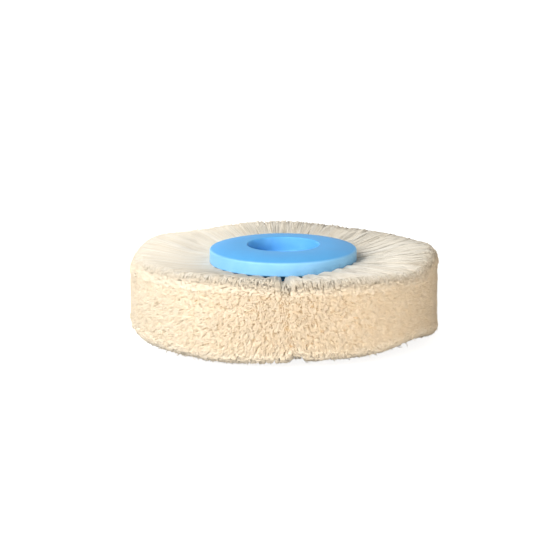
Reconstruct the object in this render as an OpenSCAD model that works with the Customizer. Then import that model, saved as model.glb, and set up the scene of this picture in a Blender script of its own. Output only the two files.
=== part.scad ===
// Soft hair polishing wheel for a polishing spindle. Two moulded hub halves close on each other
// and clamp two rows of hair tufts. Each tuft is a lock of hair folded over a steel wire ring.
// The wheel turns about Z, lies flat, and its mid-plane is Z = 0.

/* [Wheel] */
// Diameter over the trimmed hair tips
wheel_d = 80; // [64:1:110]
// Width of the hair at the rim
face_w = 20.8; // [19:0.1:28]
// Rounding of the rim's two trimmed edges
rim_round = 2; // [0.5:0.1:3]

/* [Hub] */
// Diameter of the two flanges
flange_d = 38.3; // [36:0.1:46]
// Height of a flange's straight rim
rim_h = 3.5; // [2.6:0.1:4.6]
// How far a flange's edge stands above the hair at the rim
flange_stand = 0.6; // [0.2:0.1:2]
// Height of the crowned face above the flange's edge
crown_h = 1.2; // [0.6:0.1:2.4]
// Rounding of the flange's outer edge
edge_round = 0.5; // [0.2:0.1:1]
// Rounding of the rim where it presses on the hair
lip_round = 0.3; // [0.1:0.1:0.8]
// Diameter of the washer recess
recess_d = 18.6; // [16:0.1:20]
// Depth of the washer recess
recess_h = 3.9; // [2:0.1:4.4]
// Rounding of the recess mouth
mouth_round = 0.3; // [0.1:0.1:0.6]
// Fillet between the recess floor and its wall
floor_round = 0.5; // [0.2:0.1:1]
// Width of the flat land round the recess mouth
land_w = 2; // [1:0.1:3]
// Diameter of the spindle bore
bore_d = 8; // [6:0.1:10]
// Wall of the tube round the bore
tube_wall = 2.2; // [1.4:0.1:2.8]
// Diameter of the barrel that the hair is folded against
barrel_d = 23.8; // [22:0.1:26]
// Wall of the barrel
barrel_wall = 2.4; // [2:0.1:3]
// Thickness of the web under the recess floor
web_t = 2.2; // [1.4:0.1:2.8]
// Number of ribs between the tube and the barrel
rib_count = 6; // [3:1:10]
// Thickness of a rib
rib_t = 1.6; // [1:0.1:2.4]

/* [Lap joint of the hub halves] */
// Length of the tongue
lap_h = 3; // [1.5:0.1:3.6]
// Thickness of the tongue
tongue_t = 1.1; // [0.8:0.05:1.4]
// Radial clearance of the tongue in its socket
lap_gap = 0.05; // [0.02:0.01:0.15]
// Clearance past the end of the tongue
lap_end_gap = 0.2; // [0.1:0.05:0.6]

/* [Hair] */
// Number of tufts in each of the two rows
tuft_count = 28; // [16:1:28]
// Diameter of the wire rings
wire_d = 2; // [1.2:0.1:2.6]
// Clearance between a wire ring and the hair folded over it
wire_gap = 0.1; // [0.05:0.05:0.3]
// Clearance between the folded hair and the barrel
root_gap = 0.15; // [0.1:0.05:0.4]
// Clearance between the folded hair and a flange
side_gap = 0.1; // [0.1:0.05:0.4]
// Clearance between the two rows
row_gap = 0.2; // [0.1:0.05:0.6]
// Clearance between neighbouring tufts
tuft_gap = 0.3; // [0.2:0.05:0.8]
// How much each side of a tuft is pinched between the flange lips
pinch = 0.15; // [0.05:0.05:0.4]
// How far the pinched root reaches past the flange
root_stand = 0.9; // [0.4:0.1:2]
// Strands across a tuft, along the rim
strands_across = 2; // [1:1:3]
// Strands across a tuft, along the axis
strands_deep = 4; // [2:1:5]
// How far a strand starts inside its root
strand_bite = 0.8; // [0.4:0.1:1.2]
// Step from the side of the root to the side of a strand
strand_inset = 0.1; // [0.05:0.05:0.2]
// Length of a strand's narrowing tip
tip_h = 1.4; // [0.6:0.1:3]
// How much each side of a strand narrows at the tip
tip_inset = 0.4; // [0.1:0.05:0.6]
// Step in length between neighbouring strands
tip_step = 0.3; // [0:0.05:0.8]

/* [Hidden] */
$fn = 128;

// Points on each small rounding, and on the crown of the face
round_steps = 6;
crown_steps = 24;

// How far a rib is sunk into the walls that it joins
rib_bite = 0.4;
// Room kept between the lap joint and the ribs
rib_room = 0.6;

// Hub heights, measured from the mid-plane
edge_z = face_w / 2 + flange_stand;
hub_z = edge_z + crown_h;
lip_z = edge_z - rim_h;
floor_z = hub_z - recess_h;
web_z = floor_z - web_t;
rib_z = lap_h + lap_end_gap + rib_room;

// Hub radii
bore_r = bore_d / 2;
tube_r = bore_r + tube_wall;
recess_r = recess_d / 2;
land_r = recess_r + mouth_round + land_w;
flange_r = flange_d / 2;
barrel_r = barrel_d / 2;
barrel_in_r = barrel_r - barrel_wall;
tongue_r = barrel_in_r + tongue_t;
socket_r = tongue_r + lap_gap;

// The crown is an arc that leaves the land level and would reach the flange's sharp edge.
// The edge's rounding touches both that arc and the straight rim.
crown_run = flange_r - land_r;
crown_r = (crown_run * crown_run + crown_h * crown_h) / (2 * crown_h);
crown_cz = hub_z - crown_r;
round_run = crown_run - edge_round;
round_rise = sqrt(pow(crown_r - edge_round, 2) - round_run * round_run);
round_a = atan2(round_rise, round_run);

// Folded root of a tuft
row_w = lip_z - side_gap - row_gap / 2;
row_z = row_gap / 2 + row_w / 2;
ring_r = barrel_r + root_gap + row_w / 2;
neck_w = row_w - 2 * pinch;
root_r = flange_r + root_stand;
pitch_a = 360 / tuft_count;
root_a = pitch_a - arc_angle(tuft_gap, root_r);

// Strands of a tuft
strand_gap = tuft_gap + 2 * strand_inset;
strand_r = root_r - strand_bite;
tip_r = wheel_d / 2;
strand_a = pitch_a / strands_across;
stagger = 0.5;

hub_colour = "#6ab9f8";
steel_colour = "#b9bcc0";
hair_colour = "#efe4d0";

function front_name(i) = str("tuft_front_", i < 10 ? "0" : "", i);
function rear_name(i) = str("tuft_rear_", i < 10 ? "0" : "", i);

// Angle that a length takes up along a circle
function arc_angle(length, r) = length / r * 180 / PI;

// Points of an arc, from one angle to another
function arc(x, y, r, from, to, steps) =
    [for (k = [0 : steps]) let (a = from + (to - from) * k / steps) [x + r * cos(a), y + r * sin(a)]];

// Outline of a half from the bore over the face to the barrel, above the mid-plane
function face_outline() = concat(
    [[bore_r, 0], [bore_r, floor_z]],
    arc(recess_r - floor_round, floor_z + floor_round, floor_round, 270, 360, round_steps),
    arc(recess_r + mouth_round, hub_z - mouth_round, mouth_round, 180, 90, round_steps),
    arc(land_r, crown_cz, crown_r, 90, round_a, crown_steps),
    arc(flange_r - edge_round, crown_cz + round_rise, edge_round, round_a, 0, round_steps),
    arc(flange_r - lip_round, lip_z + lip_round, lip_round, 0, -90, round_steps),
    [[barrel_r, lip_z], [barrel_r, 0]]
);

// Hollow between the barrel and the bore tube, where both halves are alike
hollow_outline = [[barrel_in_r, web_z], [tube_r, web_z], [tube_r, 0]];

tongue_outline = [[tongue_r, 0], [tongue_r, -lap_h], [barrel_in_r, -lap_h]];

socket_outline = [
    [socket_r, 0],
    [socket_r, lap_h + lap_end_gap],
    [barrel_in_r, lap_h + lap_end_gap]
];

module ribs() {
    for (k = [0 : rib_count - 1])
        rotate(k * 360 / rib_count)
            translate([tube_r - rib_bite, -rib_t / 2, rib_z])
                cube([barrel_in_r - tube_r + 2 * rib_bite, rib_t, web_z - rib_z + rib_bite]);
}

module hub_half(joint_outline) {
    color(hub_colour) {
        rotate_extrude() polygon(concat(face_outline(), joint_outline, hollow_outline));
        ribs();
    }
}

module hub_front() {
    hub_half(tongue_outline);
}

module hub_rear() {
    mirror([0, 0, 1]) hub_half(socket_outline);
}

module anchor_ring(z) {
    color(steel_colour)
        rotate_extrude() translate([ring_r, z]) circle(d = wire_d, $fn = 48);
}

module anchor_ring_front() {
    anchor_ring(row_z);
}

module anchor_ring_rear() {
    anchor_ring(-row_z);
}

// Section of the folded root: it rounds the wire below and is pinched to a neck above
module root_section() {
    difference() {
        union() {
            translate([ring_r, row_z]) circle(d = row_w);
            translate([ring_r, row_z - neck_w / 2]) square([root_r - ring_r, neck_w]);
        }
        translate([ring_r, row_z]) circle(d = wire_d + 2 * wire_gap, $fn = 48);
    }
}

// Height of one of the strands that share a height with gaps between them
function strand_share(height) = (height - (strands_deep - 1) * strand_gap) / strands_deep;

// How far the rounded edge of the rim cuts back the hair at a height
function rim_cut(z) =
    let (over = max(0, z - (face_w / 2 - rim_round)))
        rim_round - sqrt(max(0, rim_round * rim_round - over * over));

// Four corners of a strand's section: two at each end of its height, turned by angle a
function strand_ring(r, a, half_a, z_low, z_high) = [
    for (corner = [[-1, z_low], [1, z_low], [1, z_high], [-1, z_high]])
        let (turn = a + corner[0] * half_a, reach = r - rim_cut(corner[1]))
            [reach * cos(turn), reach * sin(turn), corner[1]]
];

// One flaring strand, from inside the root to a narrowed tip
module strand(i, j) {
    a = (i + 0.5 - strands_across / 2) * strand_a;
    root_share = strand_share(neck_w - 2 * strand_inset);
    rim_share = strand_share(face_w / 2 - row_gap / 2);
    root_low = row_z - neck_w / 2 + strand_inset + j * (root_share + strand_gap);
    rim_low = row_gap / 2 + j * (rim_share + strand_gap);
    end_r = tip_r - tip_step * ((i + 2 * j) % 3);
    neck_r = end_r - tip_h;
    root_half = strand_a / 2 - arc_angle(strand_gap / 2, strand_r);
    neck_half = strand_a / 2 - arc_angle(strand_gap / 2, neck_r);
    tip_half = neck_half - arc_angle(tip_inset, end_r);
    side_faces = [
        for (ring = [0, 4], k = [0 : 3], half = [0, 1])
            let (near = ring + k, next = ring + (k + 1) % 4)
                half == 0 ? [near, near + 4, next + 4] : [near, next + 4, next]
    ];
    polyhedron(
        points = concat(
            strand_ring(strand_r, a, root_half, root_low, root_low + root_share),
            strand_ring(neck_r, a, neck_half, rim_low, rim_low + rim_share),
            strand_ring(end_r, a, tip_half, rim_low + tip_inset, rim_low + rim_share - tip_inset)
        ),
        faces = concat([[0, 1, 2], [0, 2, 3], [8, 11, 10], [8, 10, 9]], side_faces)
    );
}

// A tuft of the front row, centred on the X axis
module tuft() {
    color(hair_colour) {
        rotate(-root_a / 2) rotate_extrude(angle = root_a) root_section();
        for (i = [0 : strands_across - 1], j = [0 : strands_deep - 1]) strand(i, j);
    }
}

// The rows are staggered by half a tuft
module tuft_front(i) {
    rotate((i - stagger) * pitch_a) tuft();
}

module tuft_rear(i) {
    rotate(i * pitch_a) mirror([0, 0, 1]) tuft();
}

hub_front();
hub_rear();
anchor_ring_front();
anchor_ring_rear();
for (i = [1 : tuft_count]) {
    tuft_front(i);
    tuft_rear(i);
}
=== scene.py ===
import math

import bmesh
import bpy
import numpy as np
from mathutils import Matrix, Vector


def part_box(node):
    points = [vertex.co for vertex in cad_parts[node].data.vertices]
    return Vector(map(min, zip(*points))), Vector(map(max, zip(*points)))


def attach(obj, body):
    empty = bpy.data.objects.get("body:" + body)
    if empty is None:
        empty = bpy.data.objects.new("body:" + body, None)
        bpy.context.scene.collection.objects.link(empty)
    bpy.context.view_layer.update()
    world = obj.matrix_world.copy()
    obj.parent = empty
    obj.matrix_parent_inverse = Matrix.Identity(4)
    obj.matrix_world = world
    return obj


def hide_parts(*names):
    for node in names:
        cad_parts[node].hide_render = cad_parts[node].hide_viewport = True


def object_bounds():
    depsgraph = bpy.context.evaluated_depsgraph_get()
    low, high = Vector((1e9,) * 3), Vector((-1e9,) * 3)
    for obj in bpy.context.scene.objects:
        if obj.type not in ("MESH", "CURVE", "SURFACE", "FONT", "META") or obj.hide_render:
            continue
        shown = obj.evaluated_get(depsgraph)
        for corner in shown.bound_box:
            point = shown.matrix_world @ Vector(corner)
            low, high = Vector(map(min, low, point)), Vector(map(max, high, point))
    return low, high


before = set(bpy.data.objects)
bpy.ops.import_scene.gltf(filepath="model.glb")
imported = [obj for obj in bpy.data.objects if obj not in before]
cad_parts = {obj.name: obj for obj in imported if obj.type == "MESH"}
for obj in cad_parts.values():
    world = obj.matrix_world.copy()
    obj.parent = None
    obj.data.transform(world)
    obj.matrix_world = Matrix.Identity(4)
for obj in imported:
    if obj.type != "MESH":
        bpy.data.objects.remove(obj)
cad_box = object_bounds()


# The hub is two halves injection-moulded in sky-blue plastic, each with a crowned flange and a round
# washer recess. They close on a lap joint and pinch the hair between the lips of their flanges.

MM = 0.001
flange_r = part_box("hub_front")[1][0] / MM
# The rim's painted light fades in between the next two radii, and inside the recess wall a share of it is
# painted.
crown_end_r = flange_r - 0.65
rim_start_r = flange_r - 0.05
recess_mouth_r = 9.4
recess_wall_r = 9.3
wall_painted_light_level = 0.3
flow_mm = 6.0
skin_mm = 0.35
skin_depth_mm = 0.02


def linear(code):
    """The linear colour, with alpha, of an sRGB hex code."""
    parts = [int(code[i : i + 2], 16) / 255 for i in (1, 3, 5)]
    return [c / 12.92 if c <= 0.04045 else ((c + 0.055) / 1.055) ** 2.4 for c in parts] + [1.0]


def add_node(tree, kind, settings=None, inputs=None, links=None, stops=None):
    """Adds a node to a tree, sets its properties and socket values, links other nodes' outputs to it,
    and gives a colour ramp its stops, each a position and a hex colour."""
    node = tree.nodes.new(kind)
    for name, value in (settings or {}).items():
        setattr(node, name, value)
    for socket, value in (inputs or {}).items():
        node.inputs[socket].default_value = value
    for socket, output in (links or {}).items():
        tree.links.new(output, node.inputs[socket])
    if stops:
        elements = node.color_ramp.elements
        while len(elements) < len(stops):
            elements.new(1.0)
        for element, (position, code) in zip(elements, stops):
            element.position = position
            element.color = linear(code)
    return node


def new_material(name):
    """A new material, with its node tree and its shader linked to the output."""
    material = bpy.data.materials.new(name)
    material.use_nodes = True
    tree = material.node_tree
    tree.nodes.clear()
    shader = add_node(tree, "ShaderNodeBsdfPrincipled")
    add_node(tree, "ShaderNodeOutputMaterial", links={"Surface": shader.outputs["BSDF"]})
    return material, tree, shader


# Moulded polypropylene, satin, with the faint flow mottling and the fine skin of a polished mould, which
# is drawn coarser than it is so that it shows. The straight rim and everything inside the recess wall are
# painted paler than the crown: painted light, for the brighter light and highlights that fall on them.
hub_plastic, tree, shader = new_material("moulded_polypropylene_blue")
place = add_node(tree, "ShaderNodeTexCoord")
flow = add_node(
    tree,
    "ShaderNodeTexNoise",
    inputs={"Scale": 1 / (flow_mm * MM), "Detail": 3.0, "Roughness": 0.55, "Distortion": 0.6},
    links={"Vector": place.outputs["Object"]},
)
crown_tint = add_node(
    tree,
    "ShaderNodeValToRGB",
    links={"Fac": flow.outputs["Fac"]},
    stops=[(0.3, "#47a3e3"), (0.7, "#54ace9")],
)
# Painted light: a paler blue for the straight rim and, in part, inside the recess.
rim_painted_light_tint = add_node(
    tree,
    "ShaderNodeValToRGB",
    links={"Fac": flow.outputs["Fac"]},
    stops=[(0.3, "#78b6e4"), (0.7, "#83beea")],
)
level = add_node(
    tree,
    "ShaderNodeVectorMath",
    {"operation": "MULTIPLY"},
    {1: (1, 1, 0)},
    {0: place.outputs["Object"]},
)
radius = add_node(
    tree,
    "ShaderNodeVectorMath",
    {"operation": "LENGTH"},
    links={0: level.outputs["Vector"]},
)
# Where the painted light lies: fully on the straight rim, and a share of it inside the recess wall.
rim_painted_light_share = add_node(
    tree,
    "ShaderNodeMapRange",
    inputs={"From Min": crown_end_r * MM, "From Max": rim_start_r * MM},
    links={"Value": radius.outputs["Value"]},
)
wall_painted_light_share = add_node(
    tree,
    "ShaderNodeMapRange",
    inputs={"From Min": recess_mouth_r * MM, "From Max": recess_wall_r * MM, "To Max": wall_painted_light_level},
    links={"Value": radius.outputs["Value"]},
)
hub_painted_light_share = add_node(
    tree,
    "ShaderNodeMath",
    {"operation": "MAXIMUM"},
    links={0: rim_painted_light_share.outputs["Result"], 1: wall_painted_light_share.outputs["Result"]},
)
hub_tint_with_painted_light = add_node(
    tree,
    "ShaderNodeMix",
    {"data_type": "RGBA"},
    links={0: hub_painted_light_share.outputs["Value"], "A": crown_tint.outputs["Color"], "B": rim_painted_light_tint.outputs["Color"]},
)
skin = add_node(
    tree,
    "ShaderNodeTexNoise",
    inputs={"Scale": 1 / (skin_mm * MM), "Detail": 2.0},
    links={"Vector": place.outputs["Object"]},
)
skin_bump = add_node(
    tree,
    "ShaderNodeBump",
    inputs={"Strength": 0.12, "Distance": skin_depth_mm * MM},
    links={"Height": skin.outputs["Fac"]},
)
gloss = add_node(
    tree,
    "ShaderNodeMapRange",
    inputs={"From Min": 0.3, "From Max": 0.7, "To Min": 0.48, "To Max": 0.58},
    links={"Value": flow.outputs["Fac"]},
)
shader.inputs["IOR"].default_value = 1.49
tree.links.new(hub_tint_with_painted_light.outputs["Result"], shader.inputs["Base Color"])
tree.links.new(gloss.outputs["Result"], shader.inputs["Roughness"])
tree.links.new(skin_bump.outputs["Normal"], shader.inputs["Normal"])

for name in ("hub_front", "hub_rear"):
    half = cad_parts[name]
    half.data.materials.clear()
    half.data.materials.append(hub_plastic)


# Each row of hair is folded over a ring of bright drawn steel wire, which lies hidden in the hub's
# channel and keeps the tufts from pulling out.

line_mm = 0.15

# Drawn carbon steel wire, bright grey, with the fine grain that the die leaves shown coarser than it is.
wire_steel, tree, shader = new_material("drawn_steel_wire")
place = add_node(tree, "ShaderNodeTexCoord")
lines = add_node(
    tree,
    "ShaderNodeTexNoise",
    inputs={"Scale": 1 / (line_mm * MM), "Detail": 2.0},
    links={"Vector": place.outputs["Object"]},
)
wire_tint = add_node(
    tree,
    "ShaderNodeValToRGB",
    links={"Fac": lines.outputs["Fac"]},
    stops=[(0.3, "#a9acb1"), (0.7, "#c6c8cb")],
)
shader.inputs["Metallic"].default_value = 1.0
shader.inputs["Roughness"].default_value = 0.35
tree.links.new(wire_tint.outputs["Color"], shader.inputs["Base Color"])

for name in ("anchor_ring_front", "anchor_ring_rear"):
    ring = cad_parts[name]
    ring.data.materials.clear()
    ring.data.materials.append(wire_steel)


# The brush is bleached goat hair, in two staggered rows of tufts. Each tuft leaves the pinch between
# the flange lips as one tight bundle, flares to the rim and is trimmed there, where its hairs gather
# in small locks.

scene = bpy.context.scene
tufts_in_row = sum(1 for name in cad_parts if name.startswith("tuft_front_"))
pitch = 2 * math.pi / tufts_in_row
wheel_r = cad_box[1][0] / MM
rim_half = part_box("tuft_front_01")[1][2] / MM
table_gap = 0.15
table_half = -cad_box[0][2] / MM - table_gap
root_depth = 2.5
root_r = flange_r - root_depth
root_half = 6.0
lip_half = 7.2
lip_bulge = 0.6
valley = 0.55

# The rows differ: the upper one droops over the rim's edge and lies calm there, and the lower one stands
# as it was trimmed. For each row these are the radius of the edge, how fast the surface turns from rim to
# face, how much paler the face is, how far below the brim the hairs begin to lie calm, how fast they
# soften there, and whether the shoulder between rim and face gets painted shade.
upper, lower = 1, -1
rim_round = {upper: 3.8, lower: 3.0}
roll = {upper: 2.2, lower: 1.3}
paleness = {upper: 0.45, lower: 0.25}
calm_reach = {upper: 8.0, lower: 3.0}
soft_gain = {upper: 2.5, lower: 1.3}
shoulder_painted_shade_rows = {upper: 1.0, lower: 0.0}
# The shoulder's painted shade: how much warmer and how much darker it makes the hair there.
shoulder_painted_shade_warmth = 0.7
shoulder_painted_shade_depth = 0.4

# On one side the hair stands higher beside the hub, and at the front a narrow parting runs down the rim.
lift_azimuth = math.radians(328.0)
lift_width = math.radians(34.0)
lift_mm = 1.2
parting_azimuth = math.radians(271.0)
parting_slant = math.radians(4.5)
parting_width = math.radians(1.6)
parting_dip = 0.9
parting_dip_spread = 1.8
parting_push = 1.6

# A tuft has a grid of locks and a grid of hairs, both uneven. A lock draws in its hairs, is cut a little
# short and leans, and the layers of hair crowd towards the face.
locks_across = 8
locks_deep = 9
hairs_across = 36
hairs_deep = 40
lock_pull = (0.1, 0.5)
lock_short_mm = 0.2
lock_lean_mm = 0.25
lock_dome = 0.5
lock_tone_share = 0.6
layer_crowding = 1.2

# The rim is trimmed just outside the solids' radius and follows the flare a little. A few loose hairs
# stray further than the rest, and towards the top all of them stray and lean less and shade softer.
trim_mm = 0.25
trim_spread_mm = 0.08
trim_lobe_share = 0.2
droop = 0.6
loose_share = 0.03
loose_times = 3.0
top_stray_calm = 0.5
top_lean_calm = 0.85
calm_fall = 1.5
top_softness = 0.65

# A hair is followed at six stations: in the hub, just past the flange, in the flare, twice below its tip
# and at the tip. Hairs are drawn two to three times as thick as real ones, so that they fill the brush.
hair_stations = np.array([0.0, 0.14, 0.45, 0.84, 0.955, 1.0])
hair_radii_mm = np.array([0.0, 0.06, 0.08, 0.13, 0.125, 0.0])

# At each station: how far the tuft is pinched, lifted beside the hub and opened at the parting, how far a
# lock gathers its hairs and leans, how far the tip droops and the hair strays, how much of its shading is
# the brush's own surface, and how far that surface tilts up at the most.
bundled = np.array([0.26, 0.3, 0.12, 0.0, 0.0, 0.0])
lifted = np.array([0.0, 0.7, 1.0, 0.2, 0.0, 0.0])
opened = np.array([0.0, 0.0, 0.1, 0.6, 0.9, 1.0])
gathered = np.array([0.0, 0.0, 0.0, 0.1, 0.7, 1.0])
leaning = np.array([0.0, 0.0, 0.0, 0.1, 0.6, 1.0])
bending = np.array([0.0, 0.0, 0.0, 0.0, 0.4, 1.0])
stray_mm = np.array([0.0, 0.04, 0.14, 0.14, 0.18, 0.3])
softened = np.array([0.0, 0.0, 0.0, 0.3, 0.45, 0.45])
top_lie = np.radians([100.0, 100.0, 97.0, 91.0, 86.0, 82.0])

# The flare is uneven. Each wave round the wheel has its count, its height in millimetres and its turn.
rim_waves = [
    (2, 0.30, -0.94),
    (3, 0.50, 1.27),
    (4, 0.20, 1.47),
    (5, 0.40, 0.93),
    (7, 0.33, 1.88),
    (9, 0.10, 2.10),
]

# Goat hair: cream, paler at the root, with a warm tip and small differences from lock to lock. The lock tone
# also carries the painted shade of the shoulder.
goat_hair, tree, shader = new_material("bleached_goat_hair")
growth = add_node(tree, "ShaderNodeAttribute", {"attribute_name": "hair_growth"})
parts = add_node(tree, "ShaderNodeSeparateXYZ", links={"Vector": growth.outputs["Vector"]})
length_tint = add_node(
    tree,
    "ShaderNodeValToRGB",
    links={"Fac": parts.outputs["X"]},
    stops=[(0.0, "#fdf8ed"), (0.55, "#fbf4e6"), (1.0, "#ecdec8")],
)
lock_tint = add_node(
    tree,
    "ShaderNodeValToRGB",
    links={"Fac": parts.outputs["Y"]},
    stops=[(0.0, "#efe4d0"), (0.35, "#faf4e8"), (1.0, "#ffffff")],
)
hair_tint = add_node(
    tree,
    "ShaderNodeMix",
    {"data_type": "RGBA", "blend_type": "MULTIPLY"},
    {"Factor": 0.5},
    {"A": length_tint.outputs["Color"], "B": lock_tint.outputs["Color"]},
)
tree.links.new(hair_tint.outputs["Result"], shader.inputs["Base Color"])
shader.inputs["Roughness"].default_value = 0.6
shader.inputs["IOR"].default_value = 1.45

# A hair's section is a triangle of unit size, which the curve's bevel scales and sweeps along each hair.
section_sides = 3
section_curve = bpy.data.curves.new("hair_section", "CURVE")
section_curve.dimensions = "3D"
section_line = section_curve.splines.new("POLY")
section_line.points.add(section_sides - 1)
section_line.use_cyclic_u = True
for k, point in enumerate(section_line.points):
    turn = -2 * math.pi * k / section_sides
    point.co = (math.cos(turn), math.sin(turn), 0.0, 1.0)
section = bpy.data.objects.new("hair_section", section_curve)
scene.collection.objects.link(section)


def rim_lobes(azimuth):
    """How far the uneven flare lifts the brush's edges at an azimuth, in millimetres."""
    return sum(height * np.sin(count * azimuth + turn) for count, height, turn in rim_waves)


def scatter(rng, across, deep):
    """Uneven places on a tuft's patch of the rim: from -0.5 to 0.5 across it, and from 0 to 1 out from
    the wheel's middle plane."""
    column, layer = np.meshgrid(np.arange(across), np.arange(deep), indexing="ij")
    t = (column.ravel() + rng.uniform(0, 1, column.size)) / across - 0.5
    h = (layer.ravel() + rng.uniform(0, 1, layer.size)) / deep
    return t, h


def comb_tuft(azimuth, side, seed):
    """One tuft's hairs, each with a value at every station: its path in millimetres, the way the brush's
    surface faces there, and its growth, which is the length along it, its tone with the shoulder's painted
    shade, and how soft it shades."""
    rng = np.random.default_rng(seed)
    lock_t, lock_h = scatter(rng, locks_across, locks_deep)
    locks = lock_t.size
    lock_gather = rng.uniform(*lock_pull, locks)
    lock_length = -np.abs(rng.normal(0, lock_short_mm, locks))
    lock_lean = rng.normal(0, lock_lean_mm, (locks, 2))
    lock_tone = rng.uniform(0, 1, locks)

    # Each hair belongs to the nearest lock, and its tip is drawn towards the lock's middle. Here t is the
    # place across the tuft and h the share of the way out to the face.
    hair_t, hair_h = scatter(rng, hairs_across, hairs_deep)
    hairs = hair_t.size
    apart_t = (hair_t[:, None] - lock_t) * locks_across
    apart_h = (hair_h[:, None] - lock_h) * locks_deep
    lock_of = np.argmin(apart_t**2 + apart_h**2, axis=1)
    each = np.arange(hairs)
    dome = np.stack([apart_t[each, lock_of], apart_h[each, lock_of]], axis=1)
    pull = gathered * lock_gather[lock_of, None]
    t = hair_t[:, None] * (1 - bundled) + (lock_t[lock_of] - hair_t)[:, None] * pull
    h = hair_h[:, None] + (lock_h[lock_of] - hair_h)[:, None] * pull
    h = np.clip(1 - (1 - h) ** layer_crowding, 0.0, 1.0)

    # The brush's face rises from the flange lip to the brim, uneven, and dips at the parting.
    spot = azimuth + pitch * t[:, -1]
    lobes = rim_lobes(spot)
    slant = parting_slant * np.clip(-side * h[:, -1], 0, 1)
    parted = (spot - parting_azimuth - slant) / parting_width
    brim = rim_half + lobes - parting_dip * np.exp(-((parted / parting_dip_spread) ** 2))
    rise = (hair_stations - hair_stations[1]) / (1 - hair_stations[1])
    top = lip_half + (brim[:, None] - lip_half) * rise
    top += lifted * lift_mm * np.exp(-(((spot - lift_azimuth) / lift_width) ** 2))[:, None]
    top[:, 0] = root_half
    top[:, 1] += lip_bulge * np.cos(math.pi * t[:, 1])
    top[:, 2] -= valley * (2 * t[:, 2]) ** 2
    z = h * top

    # The shoulder is a quarter round, over which the outer hairs bend before they are trimmed. The angle
    # phi is how far round it a hair ends.
    curl = rim_round[side]
    shoulder_z = brim - curl
    below = brim - z[:, -1]
    phi = np.arcsin(np.clip((z[:, -1] - shoulder_z) / curl, 0, 1))
    bend = rng.uniform(0.0, droop, hairs) * phi / (math.pi / 2)
    turn = phi[:, None] * (1 - bend[:, None] * bending)
    trim_r = wheel_r + trim_mm + trim_lobe_share * lobes
    edge_r = trim_r + lock_length[lock_of] + rng.normal(0, trim_spread_mm, hairs)
    straight_r = edge_r - curl * (1 - np.cos(phi))
    r = root_r + (straight_r - root_r)[:, None] * hair_stations
    over = (phi[:, None] > 0) & (bending > 0)
    r = np.where(over, edge_r[:, None] - curl * (1 - np.cos(turn)), r)
    z = np.where(over, shoulder_z[:, None] + curl * np.sin(turn), z)

    # Hairs stray and lean with their lock, less so towards the top, and give way at the parting. The
    # lower ones stop at the table.
    smooth = np.sin(phi)
    rest = np.maximum(smooth, np.clip(1 - below / calm_reach[side], 0, 1) ** calm_fall)
    calm = 1 - top_lean_calm * rest
    loose = np.where(rng.uniform(0, 1, hairs) < loose_share, loose_times, 1.0)
    stray = rng.normal(0, 1, (hairs, hair_stations.size, 2)) * (stray_mm * loose[:, None])[..., None]
    stray[:, -1] += stray[:, -2]
    stray *= (1 - top_stray_calm * smooth)[:, None, None]
    stray += (lock_lean[lock_of] * calm[:, None])[:, None, :] * leaning[:, None]
    stray[..., 0] += (parting_push * parted * np.exp(-(parted**2)))[:, None] * opened
    angle = azimuth + pitch * t + stray[..., 0] / r
    z = z + stray[..., 1]
    if side == lower:
        z = np.minimum(z, table_half)
    points = np.stack([r * np.cos(angle), r * np.sin(angle), side * z], axis=2)

    # The brush's surface is domed over each lock, and rolls over from the rim to the face.
    across = lock_dome * dome[:, :1] * calm[:, None]
    lie = np.minimum(roll[side] * turn, top_lie)
    out = np.cos(lie)
    up = np.sin(lie) + lock_dome * dome[:, 1:] * calm[:, None]
    facing_x = out * np.cos(angle) - across * np.sin(angle)
    facing_y = out * np.sin(angle) + across * np.cos(angle)
    facing = np.stack([facing_x, facing_y, side * up], axis=2)

    # The face shows the hairs' pale lengths, and the shoulder between face and rim is painted warmer and
    # darker: painted shade for the shadow between the hairs seen aslant there.
    shoulder = shoulder_painted_shade_rows[side] * 4 * smooth * (1 - smooth)
    pale = paleness[side] * smooth * (1 - shoulder_painted_shade_warmth * shoulder)
    tone = lock_tone[lock_of] * lock_tone_share + rng.uniform(0, 1, hairs) * (1 - lock_tone_share)
    soft = top_softness * np.clip(soft_gain[side] * rest, 0, 1)
    growth = np.empty((hairs, hair_stations.size, 3))
    growth[..., 0] = hair_stations * (1 - pale[:, None])
    growth[..., 1] = (tone * (1 - shoulder_painted_shade_depth * shoulder))[:, None]
    growth[..., 2] = np.maximum(softened, soft[:, None])
    return points, facing, growth


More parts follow.
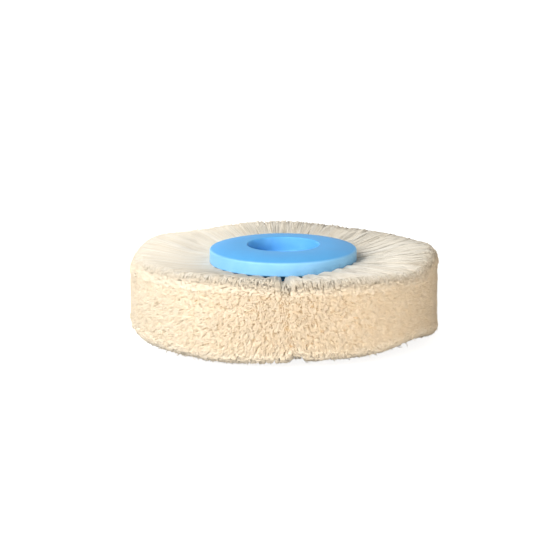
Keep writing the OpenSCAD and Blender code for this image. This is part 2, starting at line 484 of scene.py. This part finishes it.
def grow_tuft(name, azimuth, side, seed):
    """A mesh object of one tuft: hairs swept as splines, closed at both ends, one map cell for each."""
    points, facing, growth = comb_tuft(azimuth, side, seed)
    hairs, stations = points.shape[:2]
    path = bpy.data.curves.new(name, "CURVE")
    path.dimensions = "3D"
    path.bevel_mode = "OBJECT"
    path.bevel_object = section
    radii = hair_radii_mm * MM
    spots = np.ones((hairs, stations, 4))
    spots[:, :, :3] = points * MM
    for hair in spots:
        spline = path.splines.new("POLY")
        spline.points.add(stations - 1)
        spline.points.foreach_set("co", hair.ravel())
        spline.points.foreach_set("radius", radii)
    swept = bpy.data.objects.new(name, path)
    scene.collection.objects.link(swept)
    mesh = bpy.data.meshes.new_from_object(swept.evaluated_get(bpy.context.evaluated_depsgraph_get()))
    bpy.data.objects.remove(swept)
    bpy.data.curves.remove(path)
    mesh.name = name
    for kind, values in (("hair_growth", growth), ("hair_facing", facing)):
        attribute = mesh.attributes.new(kind, "FLOAT_VECTOR", "POINT")
        attribute.data.foreach_set("vector", np.repeat(values, section_sides, axis=1).ravel())

    along = np.empty(len(mesh.loops) * 2)
    mesh.uv_layers[0].uv.foreach_get("vector", along)
    cells = math.ceil(math.sqrt(hairs))
    cell_margin = 0.06
    order = np.arange(hairs)
    corner = np.stack([order % cells, order // cells], axis=1)[:, None, :]
    cell_map = (corner + cell_margin + (1 - 2 * cell_margin) * along.reshape(hairs, -1, 2)) / cells
    mesh.uv_layers[0].name = "OFBake"
    mesh.uv_layers[0].uv.foreach_set("vector", cell_map.ravel())

    # The root and the tip of a swept hair are rings with no radius, so each merges to a point.
    weld_mm = 0.001
    shape = bmesh.new()
    shape.from_mesh(mesh)
    bmesh.ops.remove_doubles(shape, verts=shape.verts, dist=weld_mm * MM)
    for face in shape.faces:
        face.smooth = True
    shape.to_mesh(mesh)
    shape.free()

    # Pale hair lets light through, so its tips shade partly as the brush's own surface does.
    own, growth, facing = (np.empty((len(mesh.vertices), 3)) for _ in range(3))
    mesh.vertex_normals.foreach_get("vector", own.ravel())
    mesh.attributes["hair_growth"].data.foreach_get("vector", growth.ravel())
    mesh.attributes["hair_facing"].data.foreach_get("vector", facing.ravel())
    facing /= np.linalg.norm(facing, axis=1)[:, None]
    soft = growth[:, 2:]
    mesh.normals_split_custom_set_from_vertices(own * (1 - soft) + facing * soft)
    mesh.attributes.remove(mesh.attributes["hair_facing"])
    mesh.materials.clear()
    mesh.materials.append(goat_hair)
    tuft = bpy.data.objects.new(name, mesh)
    scene.collection.objects.link(tuft)
    return tuft


for row, side, shift in (("front", upper, -0.5), ("rear", lower, 0.0)):
    for i in range(1, tufts_in_row + 1):
        node = f"tuft_{row}_{i:02d}"
        tuft = grow_tuft(f"hair_{row}_{i:02d}", (i + shift) * pitch, side, seed=[i, side + 1])
        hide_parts(node)
        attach(tuft, "root")
bpy.data.objects.remove(section)
bpy.data.curves.remove(section_curve)


# Below its outer hairs the brush is packed so full that it reads as one body of goat hair. It is painted
# darker and warmer than the tips, as painted shade for the shadow deep between the locks. It closes the
# view between the locks, and sinks with the parting.

pack_start_r = 25.0
pack_depth = 2.1
pack_r = wheel_r - pack_depth
pack_half = rim_half - 0.9
pack_start_half = lip_half - 0.3
pack_corner = 2.0
pack_cut_r = 0.6
pack_cut_z = 0.7
pack_dip = 1.6 * parting_dip
pack_dip_spread = 2.4
clump_mm = 0.22

upper_edge = [
    (pack_r, pack_half - pack_corner),
    (pack_r - pack_cut_r, pack_half - pack_cut_z),
    (pack_r - pack_corner, pack_half),
    (pack_start_r, pack_start_half),
]
outline = [(r, -z) for r, z in reversed(upper_edge)] + [(pack_r, 0.0)] + upper_edge
bm = bmesh.new()
spots = [bm.verts.new((r * MM, 0, z * MM)) for r, z in outline]
edges = [bm.edges.new(pair) for pair in zip(spots, spots[1:] + spots[:1])]
bmesh.ops.spin(
    bm,
    geom=spots + edges,
    cent=(0, 0, 0),
    axis=(0, 0, 1),
    angle=2 * math.pi,
    steps=4 * tufts_in_row,
    use_merge=True,
)
bmesh.ops.recalc_face_normals(bm, faces=bm.faces)

# Both faces follow the uneven flare and the parting, and the middle of the rim stays.
for spot in bm.verts:
    x, y, z = spot.co
    out = (math.hypot(x, y) / MM - pack_start_r) / (pack_r - pack_start_r)
    if abs(z) > MM:
        azimuth = math.atan2(y, x) % (2 * math.pi)
        slant = parting_slant if z < 0 else 0.0
        parted = (azimuth - parting_azimuth - slant) / parting_width
        lift = rim_lobes(azimuth) - pack_dip * math.exp(-((parted / pack_dip_spread) ** 2))
        spot.co.z += math.copysign(1, z) * out * lift * MM
pack_mesh = bpy.data.meshes.new("packed_hair")
bm.to_mesh(pack_mesh)
bm.free()
packed_hair = bpy.data.objects.new("packed_hair", pack_mesh)
scene.collection.objects.link(packed_hair)

# The same hair packed close: a warm cream, with painted shade that darkens the gaps between small clumps.
packed_goat_painted_shade, tree, shader = new_material("packed_goat_hair_painted_shade")
place = add_node(tree, "ShaderNodeTexCoord")
clumps = add_node(
    tree,
    "ShaderNodeTexVoronoi",
    inputs={"Scale": 1 / (clump_mm * MM)},
    links={"Vector": place.outputs["Object"]},
)
clump_painted_shade_tint = add_node(
    tree,
    "ShaderNodeValToRGB",
    links={"Fac": clumps.outputs["Distance"]},
    stops=[(0.1, "#f4e6cd"), (0.75, "#c4a67c")],
)
tree.links.new(clump_painted_shade_tint.outputs["Color"], shader.inputs["Base Color"])
shader.inputs["Roughness"].default_value = 0.8
pack_mesh.materials.append(packed_goat_painted_shade)
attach(packed_hair, "root")


# A plain white sweep stands in for the table in a studio: a level sheet of paper that the wheel lies on.
# Soft lamps stand at the front left, in front and behind, with a low warm one at the right, and an even
# fill comes from all round.

floor_z = cad_box[0][2]
floor_half = 3.0
paper_white = 0.84
fill_level = 0.17

bm = bmesh.new()
bmesh.ops.create_grid(bm, x_segments=1, y_segments=1, size=floor_half)
bmesh.ops.translate(bm, verts=bm.verts, vec=(0, 0, floor_z))
floor_mesh = bpy.data.meshes.new("floor")
bm.to_mesh(floor_mesh)
bm.free()
floor = bpy.data.objects.new("floor", floor_mesh)
scene.collection.objects.link(floor)

# Matt white paper, which the camera sees as white outside the wheel's shadow.
white_paper, tree, shader = new_material("matt_white_paper")
rays = add_node(tree, "ShaderNodeLightPath")
paper_light = add_node(
    tree,
    "ShaderNodeMath",
    {"operation": "MULTIPLY"},
    {1: paper_white},
    {0: rays.outputs["Is Camera Ray"]},
)
shader.inputs["Base Color"].default_value = linear("#c4c4c2")
shader.inputs["Roughness"].default_value = 0.9
shader.inputs["Emission Color"].default_value = linear("#ffffff")
tree.links.new(paper_light.outputs["Value"], shader.inputs["Emission Strength"])
floor_mesh.materials.append(white_paper)

# The fill lights the wheel, and the camera and reflections see a white backdrop.
world = bpy.data.worlds.new("studio")
scene.world = world
world.use_nodes = True
tree = world.node_tree
tree.nodes.clear()
rays = add_node(tree, "ShaderNodeLightPath")
fill = add_node(tree, "ShaderNodeBackground", inputs={"Color": linear("#ffffff"), "Strength": fill_level})
backdrop = add_node(tree, "ShaderNodeBackground", inputs={"Color": linear("#ffffff"), "Strength": 1.0})
mirrored = add_node(
    tree,
    "ShaderNodeMath",
    {"operation": "MAXIMUM"},
    links={0: rays.outputs["Is Glossy Ray"], 1: rays.outputs["Is Transmission Ray"]},
)
seen = add_node(
    tree,
    "ShaderNodeMath",
    {"operation": "MAXIMUM"},
    links={0: rays.outputs["Is Camera Ray"], 1: mirrored.outputs["Value"]},
)
pick = add_node(
    tree,
    "ShaderNodeMixShader",
    links={0: seen.outputs["Value"], 1: fill.outputs["Background"], 2: backdrop.outputs["Background"]},
)
add_node(tree, "ShaderNodeOutputWorld", links={"Surface": pick.outputs["Shader"]})


def add_lamp(name, place, size, power, tint="#ffffff"):
    """A soft square lamp that points at the wheel."""
    data = bpy.data.lights.new(name, "AREA")
    data.size = size
    data.energy = power
    data.color = linear(tint)[:3]
    lamp = bpy.data.objects.new(name, data)
    lamp.location = place
    lamp.rotation_euler = (-Vector(place)).to_track_quat("-Z", "Y").to_euler()
    scene.collection.objects.link(lamp)
    return lamp


add_lamp("key", (-0.51, -0.46, 0.42), 0.50, 6.9)
add_lamp("front", (-0.10, -0.84, 0.14), 0.50, 4.0)
add_lamp("card", (0.50, -0.68, 0.03), 0.20, 4.6, "#fff0dc")
add_lamp("back", (-0.45, 0.72, 0.08), 0.50, 10.0).visible_glossy = False


# The camera looks a little down on the wheel from about a metre away, through a lens that lets the wheel
# fill just over half the width of the square frame.

elevation = math.radians(12.37)
distance = 0.95
frame_pixels = 550
pixels_per_mm = 3.828
shift_pixels = (-8.2, 14.7)

camera_data = bpy.data.cameras.new("camera")
camera_data.sensor_width = 36.0
camera_data.lens = pixels_per_mm / MM * distance * camera_data.sensor_width / frame_pixels
camera_data.shift_x, camera_data.shift_y = (shift / frame_pixels for shift in shift_pixels)
camera = bpy.data.objects.new("camera", camera_data)
camera.location = (0, -distance * math.cos(elevation), distance * math.sin(elevation))
camera.rotation_euler = (math.pi / 2 - elevation, 0, 0)
scene.collection.objects.link(camera)
scene.camera = camera
scene.view_settings.view_transform = "Standard"
